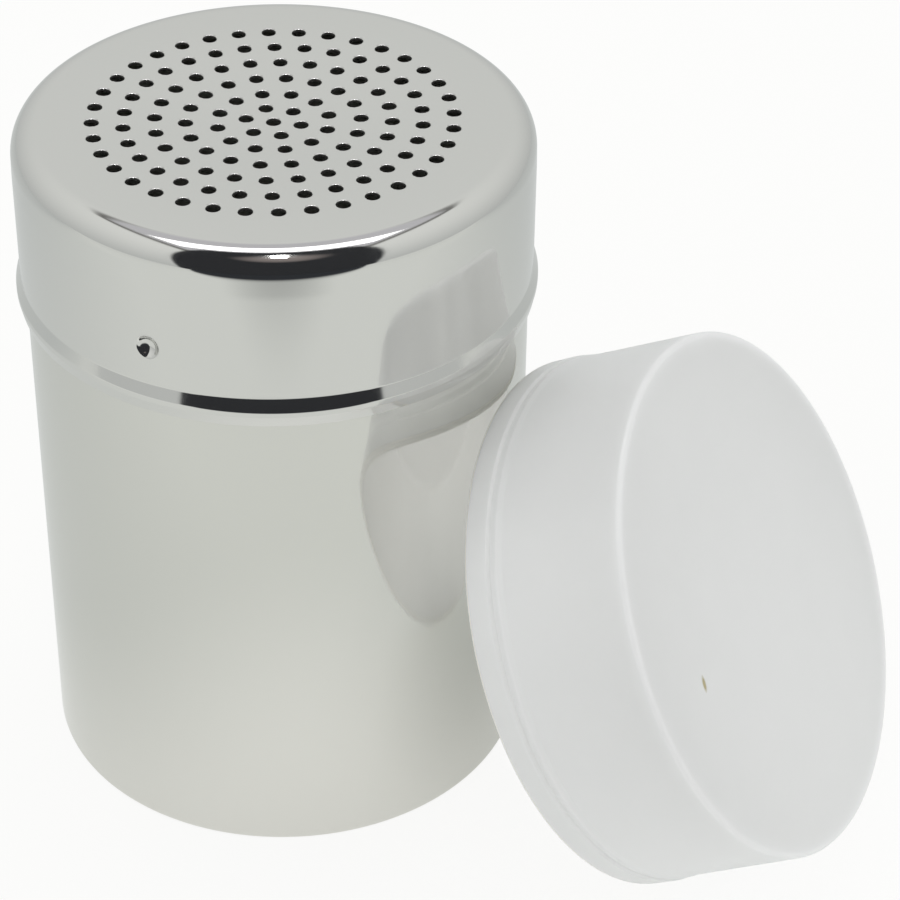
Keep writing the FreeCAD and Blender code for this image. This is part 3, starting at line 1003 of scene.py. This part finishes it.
strip_share = add_node(
    sky,
    "Math",
    {"operation": "MULTIPLY"},
    {0: strip.outputs["Result"], 1: ceiling_share.outputs["Result"]},
)
seam_share = add_node(
    sky,
    "Math",
    {"operation": "MULTIPLY"},
    {0: seam.outputs["Result"], 1: ceiling_share.outputs["Result"]},
)
sky_ceiling = add_node(
    sky,
    "Mix",
    {"data_type": "RGBA", 7: linear("d3d2d7")},
    {0: strip_share.outputs["Value"], 6: sky_wall.outputs[2]},
)
sky_seamed = add_node(
    sky,
    "Mix",
    {"data_type": "RGBA", 7: linear("5d5b59")},
    {0: seam_share.outputs["Value"], 6: sky_ceiling.outputs[2]},
)
glare_nearness = add_node(
    sky,
    "VectorMath",
    {"operation": "DOT_PRODUCT", 1: GLARE_DIRECTION},
    {0: sky_place.outputs["Generated"]},
)
glare = add_node(
    sky,
    "MapRange",
    {"interpolation_type": "SMOOTHSTEP", "From Min": GLARE_EDGE, "From Max": GLARE_MIDDLE},
    {"Value": glare_nearness.outputs["Value"]},
)
opening_dark = add_node(
    sky,
    "Mix",
    {"data_type": "RGBA", 6: linear("343538"), 7: linear("958c8a")},
    {0: glare.outputs["Result"]},
)
sky_mirrored = add_node(
    sky,
    "Mix",
    {"data_type": "RGBA"},
    {
        0: opening.outputs["Result"],
        6: sky_seamed.outputs[2],
        7: opening_dark.outputs[2],
    },
)
sky_rays = add_node(sky, "LightPath")
sky_seen = add_node(
    sky,
    "Math",
    {"operation": "MAXIMUM"},
    {0: sky_rays.outputs["Is Glossy Ray"], 1: sky_rays.outputs["Is Transmission Ray"]},
)
mirror_light = add_node(sky, "Background", {"Strength": 1.0}, {"Color": sky_mirrored.outputs[2]})
room_light = add_node(sky, "Background", {"Color": linear("ffffff"), "Strength": ROOM_LEVEL})
unlit_or_seen = add_node(
    sky,
    "MixShader",
    links={
        0: sky_seen.outputs["Value"],
        1: room_light.outputs["Background"],
        2: mirror_light.outputs["Background"],
    },
)
camera_light = add_node(sky, "Background", {"Color": linear("ffffff"), "Strength": 1.0})
sky_mix = add_node(
    sky,
    "MixShader",
    links={
        0: sky_rays.outputs["Is Camera Ray"],
        1: unlit_or_seen.outputs["Shader"],
        2: camera_light.outputs["Background"],
    },
)
add_node(sky, "OutputWorld", links={"Surface": sky_mix.outputs["Shader"]})

# Two lamps hang over the tent and face straight down: a soft panel a little behind the shaker,
# and a small bright one in front, which gives the sharp highlights. Each has its place and size
# in mm and its brightness, where 1 is white, and its power is that times pi and its area.
LAMPS = (
    ("soft_panel", (0.0, 200.0, 1000.0), (660.0, 320.0), 2.0),
    ("small_lamp", (5.0, -310.0, 1000.0), (60.0, 220.0), 22.0),
)
for lamp_name, lamp_place, lamp_size, brightness in LAMPS:
    lamp_data = bpy.data.lights.new(lamp_name, "AREA")
    lamp_data.shape = "RECTANGLE"
    lamp_data.size, lamp_data.size_y = (side * MM for side in lamp_size)
    lamp_data.energy = brightness * math.pi * lamp_data.size * lamp_data.size_y
    lamp = bpy.data.objects.new(lamp_name, lamp_data)
    lamp.location = Vector(lamp_place) * MM
    bpy.context.scene.collection.objects.link(lamp)
